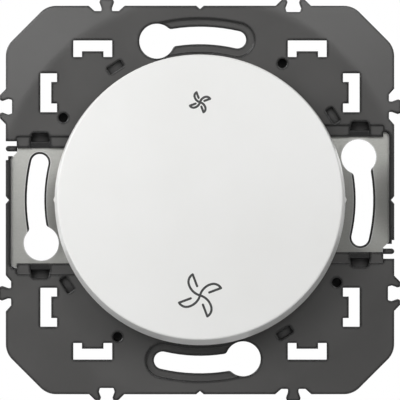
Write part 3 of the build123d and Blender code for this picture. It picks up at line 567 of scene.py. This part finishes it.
# Raised lines on the housing's rear wall: a border round each terminal, its sign,
# and a gauge for stripping wire
rearMarks = {
    "border": 0.00035, "borderHeight": 0.00022, "stroke": 0.00042, "strokeHeight": 0.00024,
    "fieldSides": (0.0079, 0.0169), "fieldHalf": 0.0057, "fieldRadius": 0.003,
    "signPlace": 0.0052, "signHeight": 0.0030,
    "gaugeLength": 0.011, "gaugePlace": -0.0165, "gaugeTick": 0.0011,
}
# Strokes of each sign as shares of its height
signStrokes = {
    "L": [straight((-0.22, 0.5), (-0.22, -0.5)), straight((-0.22, -0.5), (0.26, -0.5))],
    "1": [straight((-0.20, 0.30), (0.04, 0.5)), straight((0.04, 0.5), (0.04, -0.5))],
    "2": [
        np.concatenate([arcPath((0.0, 0.22), 0.28, 160, -38, 16), straight((0.16, -0.02), (-0.28, -0.5))]),
        straight((-0.28, -0.5), (0.30, -0.5)),
    ],
}
fromBehind = np.array([-1, 1])  # signs are read from the rear, where right is left
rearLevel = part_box("mechanism_housing")[1][1]
border = {"closed": True, "width": rearMarks["border"], "height": rearMarks["borderHeight"]}
stroke = {"closed": False, "width": rearMarks["stroke"], "height": rearMarks["strokeHeight"]}
shapes = []
for place in terminals.values():
    left, right = sorted(place["way"] * x for x in rearMarks["fieldSides"])
    bottom, top = (place["height"] + way * rearMarks["fieldHalf"] for way in (-1, 1))
    field = roundedField((left, bottom), (right, top), rearMarks["fieldRadius"])
    shapes.append(ridge(field, level=rearLevel, **border))
    middle = np.array([place["way"] * rearMarks["signPlace"], place["height"]])
    for share in signStrokes[place["sign"]]:
        path = middle + share * rearMarks["signHeight"] * fromBehind
        shapes.append(ridge(path, level=rearLevel, **stroke))
gaugeEnds = [(way * rearMarks["gaugeLength"] / 2, rearMarks["gaugePlace"]) for way in (-1, 1)]
gaugePaths = [straight(*gaugeEnds)]
for x, z in gaugeEnds:
    gaugePaths.append(straight((x, z - rearMarks["gaugeTick"]), (x, z + rearMarks["gaugeTick"])))
shapes += [ridge(path, level=rearLevel, **stroke) for path in gaugePaths]
marks = addPiece("rearWallMarks", shapes, finishes["housingPlastic"])
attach(marks, "base")

# Grip ribs across the end of each release lever
ribSetup = {"count": 4, "spacing": 0.0016, "width": 0.0007, "height": 0.00018, "margin": 0.0005}
ribSteps = (np.arange(ribSetup["count"]) - (ribSetup["count"] - 1) / 2) * ribSetup["spacing"]
for terminal in terminals:
    low, high = (np.array(corner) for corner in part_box(terminal + "_release_lever"))
    heights = (low[2] + high[2]) / 2 + ribSteps
    paths = [straight((low[0] + ribSetup["margin"], z), (high[0] - ribSetup["margin"], z)) for z in heights]
    shapes = [ridge(path, False, ribSetup["width"], ribSetup["height"], high[1]) for path in paths]
    ribs = addPiece(terminal + "_lever_ribs", shapes, finishes["leverPlastic"])
    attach(ribs, terminal + "_lever")
print("rear marks and lever ribs made")

# Plunger's coil spring, which the plunger presses together along the rocker's tilted axis
coilSetup = {
    "pivot": (0.0, -0.0062, 0.0), "tilt": 4.5, "low": -0.0042, "high": 0.0029, "radius": 0.00215,
    "wire": 0.0005, "turns": 6, "startAngle": -90, "steps": 241, "sides": 14, "travel": 0.0008,
}
tilt = math.radians(coilSetup["tilt"])
coilPivot = np.array(coilSetup["pivot"])
coilAxis = np.array([0.0, -math.cos(tilt), math.sin(tilt)])  # heights are from the pivot, towards the button
coilRight = np.array([1.0, 0.0, 0.0])
coilUp = np.cross(coilAxis, coilRight)
# A circle is carried along a helix: the first parameter winds and lifts it, the second goes round the wire
wind = np.linspace(0.0, 2 * np.pi * coilSetup["turns"], coilSetup["steps"])[:, None]
wind += math.radians(coilSetup["startAngle"])
lift = np.linspace(coilSetup["low"], coilSetup["high"], coilSetup["steps"])[:, None]
outward = np.cos(wind) * coilRight + np.sin(wind) * coilUp
centres = coilPivot + lift * coilAxis + coilSetup["radius"] * outward
climb = (coilSetup["high"] - coilSetup["low"]) / (2 * np.pi * coilSetup["turns"])
ahead = coilSetup["radius"] * (np.cos(wind) * coilUp - np.sin(wind) * coilRight) + climb * coilAxis
ahead /= np.linalg.norm(ahead, axis=1)[:, None]
roundWire = np.linspace(0.0, 2 * np.pi, coilSetup["sides"], endpoint=False)[None, :, None]
spread = np.cos(roundWire) * outward[:, None] + np.sin(roundWire) * np.cross(outward, ahead)[:, None]
points = (centres[:, None] + coilSetup["wire"] / 2 * spread).reshape(-1, 3)
shape = (points, *wrapFaces(coilSetup["steps"], coilSetup["sides"], closed=False))
coil = addPiece("plunger_coil", [shape], finishes["springSteel"])
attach(coil, "rocker")
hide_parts("plunger_spring")
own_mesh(coil)

# Clamp springs, two to a terminal: the release lever bends the biting leg, and the other leg stays put
clampSetup = {
    "x": 0.0072, "start": 0.0090, "end": 0.0196, "bend": 0.00075, "turn": 142, "bendSteps": 40,
    "reach": 0.0102, "legSteps": 60, "strip": 0.0004, "width": 0.0046, "pitch": 0.0054,
    "yields": (0.0079, 0.0095),
}


def clampStrip(way, height):
    # A flat strip is carried along its middle line: up the partition, round a bend and on to the bite.
    # The heading is steady on the legs and grows evenly round the bend.
    # Past the strip's two ends its thickness falls as the cosine while its place moves on as the sine.
    turn = math.radians(clampSetup["turn"])
    bend = np.linspace(0.0, turn, clampSetup["bendSteps"])
    past, taper = np.sin(endAngles) * clampSetup["strip"] / 2, np.cos(endAngles)
    first = clampSetup["start"] - np.append(past[::-1], 0.0)
    leg = np.linspace(0.0, clampSetup["reach"], clampSetup["legSteps"])[1:]
    leg = np.append(leg, clampSetup["reach"] + past)
    heading = np.concatenate([np.zeros(len(first)), bend, np.full(len(leg), turn)])[:, None]
    across = clampSetup["x"] + clampSetup["bend"] * (1 - np.cos(heading))
    depth = clampSetup["end"] + clampSetup["bend"] * np.sin(heading)
    depth[: len(first), 0] = first
    across[-len(leg):, 0] += leg * math.sin(turn)
    depth[-len(leg):, 0] += leg * math.cos(turn)
    full = np.ones(len(heading) - 2 * len(taper))
    thick = np.concatenate([taper[::-1], full, taper])[:, None] * clampSetup["strip"] / 2
    thick = thick * np.array([-1, 1, 1, -1])[::way]
    wide = np.array([-1, -1, 1, 1])[::way] * clampSetup["width"] / 2
    x = way * (across + np.cos(heading) * thick)
    y = depth - np.sin(heading) * thick
    z = height + wide + 0 * heading
    return np.stack([x, y, z], axis=-1).reshape(-1, 3), *wrapFaces(len(heading), len(wide), closed=False)


for terminal, place in terminals.items():
    heights = [place["height"] + side * clampSetup["pitch"] / 2 for side in (-1, 1)]
    shapes = [clampStrip(place["way"], height) for height in heights]
    strips = addPiece(terminal + "_clamp_strips", shapes, finishes["springSteel"])
    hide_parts(terminal + "_clamp_springs")
    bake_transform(strips)
print("springs made")

# Floor: a wide pale disc below the switch; radius grows with the first parameter, angle with the second
floorSetup = {
    "height": -0.055, "radius": 0.75, "rings": 24, "spokes": 96,
    "shade": grey(0.50), "roughness": 0.9, "white": 0.7, "backdrop": (0.15, 0.35),
}
radii = np.linspace(0.0, 1.0, floorSetup["rings"])[:, None] * floorSetup["radius"]
turns = np.linspace(0.0, 2 * np.pi, floorSetup["spokes"], endpoint=False)[None, :]
level = np.full_like(radii * turns, floorSetup["height"])
grid = np.stack([radii * np.cos(turns), radii * np.sin(turns), level], axis=-1)
quads = wrapFaces(floorSetup["rings"], floorSetup["spokes"], closed=False)[0]
floorMesh = bpy.data.meshes.new("floor")
floorMesh.from_pydata(grid.reshape(-1, 3).tolist(), [], quads.tolist())
floor = bpy.data.objects.new("floor", floorMesh)
scene.collection.objects.link(floor)
material, tree, shader = finish("floorPaper", Roughness=floorSetup["roughness"])
shader.inputs["Base Color"].default_value = floorSetup["shade"]
glow = addNode(tree, "ShaderNodeEmission")
glow.inputs["Color"].default_value = white
seen = seenWhite(tree, coordinates(tree, "Object")["Y"], floorSetup["backdrop"])
share = mathNode(tree, "MULTIPLY", seen, floorSetup["white"])
paper = mixShaders(tree, share, shader.outputs[0], glow.outputs[0])
wire(tree, paper, tree.nodes["Material Output"].inputs["Surface"])
floorMesh.materials.append(material)
print("floor laid")
